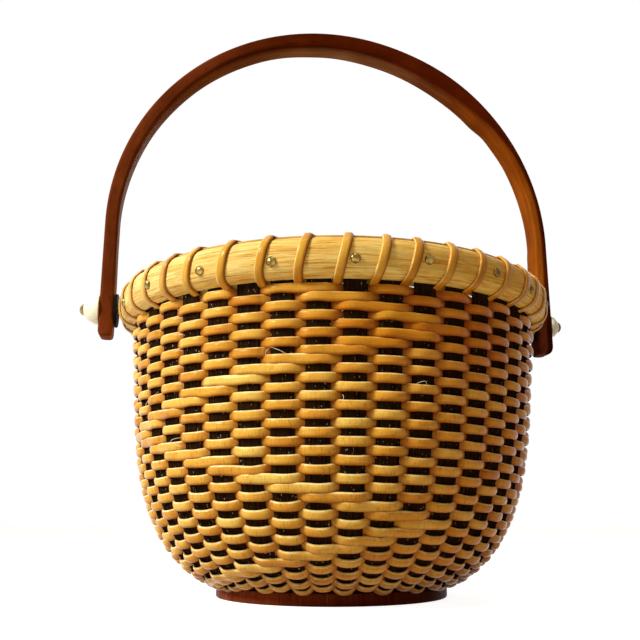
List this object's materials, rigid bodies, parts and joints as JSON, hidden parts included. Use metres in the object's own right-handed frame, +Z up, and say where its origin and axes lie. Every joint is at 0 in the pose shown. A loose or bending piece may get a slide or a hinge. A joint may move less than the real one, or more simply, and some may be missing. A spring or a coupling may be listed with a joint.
{
  "type": "handled round basket",
  "caption": "Round open basket of golden cane woven over dark staves on a turned wooden base, with a lashed rim, bone knobs and a swinging bentwood handle.",
  "frame": {"origin": "middle of the flat underside of the base", "axes": "+Z up, X along the handle's pivot axis, handle upright at rest"},
  "size_m": [0.192, 0.1644, 0.228],
  "materials": {
    "base_wood": "satin dark reddish brown hardwood",
    "handle_wood": "satin dark reddish brown hardwood",
    "stave_wood": "near black stained wood",
    "cane": "glossy golden rattan cane",
    "hoop_wood": "pale straw wood with long grain",
    "brass": "polished brass",
    "bone": "smooth cream bone",
    "ebony": "satin black wood"
  },
  "bodies": {
    "basket": {"base": "base_wood", "stave_01": "stave_wood", "stave_02": "stave_wood", "stave_03": "stave_wood", "stave_04": "stave_wood", "stave_05": "stave_wood", "stave_06": "stave_wood", "stave_07": "stave_wood", "stave_08": "stave_wood", "stave_09": "stave_wood", "stave_10": "stave_wood", "stave_11": "stave_wood", "stave_12": "stave_wood", "stave_13": "stave_wood", "stave_14": "stave_wood", "stave_15": "stave_wood", "stave_16": "stave_wood", "stave_17": "stave_wood", "stave_18": "stave_wood", "stave_19": "stave_wood", "stave_20": "stave_wood", "stave_21": "stave_wood", "stave_22": "stave_wood", "stave_23": "stave_wood", "stave_24": "stave_wood", "stave_25": "stave_wood", "stave_26": "stave_wood", "stave_27": "stave_wood", "stave_28": "stave_wood", "stave_29": "stave_wood", "stave_30": "stave_wood", "stave_31": "stave_wood", "stave_32": "stave_wood", "stave_33": "stave_wood", "stave_34": "stave_wood", "stave_35": "stave_wood", "stave_36": "stave_wood", "stave_37": "stave_wood", "stave_38": "stave_wood", "stave_39": "stave_wood", "stave_40": "stave_wood", "stave_41": "stave_wood", "stave_42": "stave_wood", "cane_weave": "cane", "inner_rim": "hoop_wood", "outer_rim": "hoop_wood", "rim_cap": "cane", "lashing": "cane", "pivot_rod_left": "brass", "pivot_rod_right": "brass", "knob_left": "bone", "knob_right": "bone", "washer_left": "ebony", "washer_right": "ebony", "burr_left": "brass", "burr_right": "brass"},
    "swing_handle": {"handle": "handle_wood"}
  },
  "joints": [
    {"name": "handle_swing", "type": "hinge", "parent": "basket", "child": "swing_handle", "pos_m": [0, 0, 0.10336], "axis": [1, 0, 0], "range_deg": [-140, 140]}
  ]
}
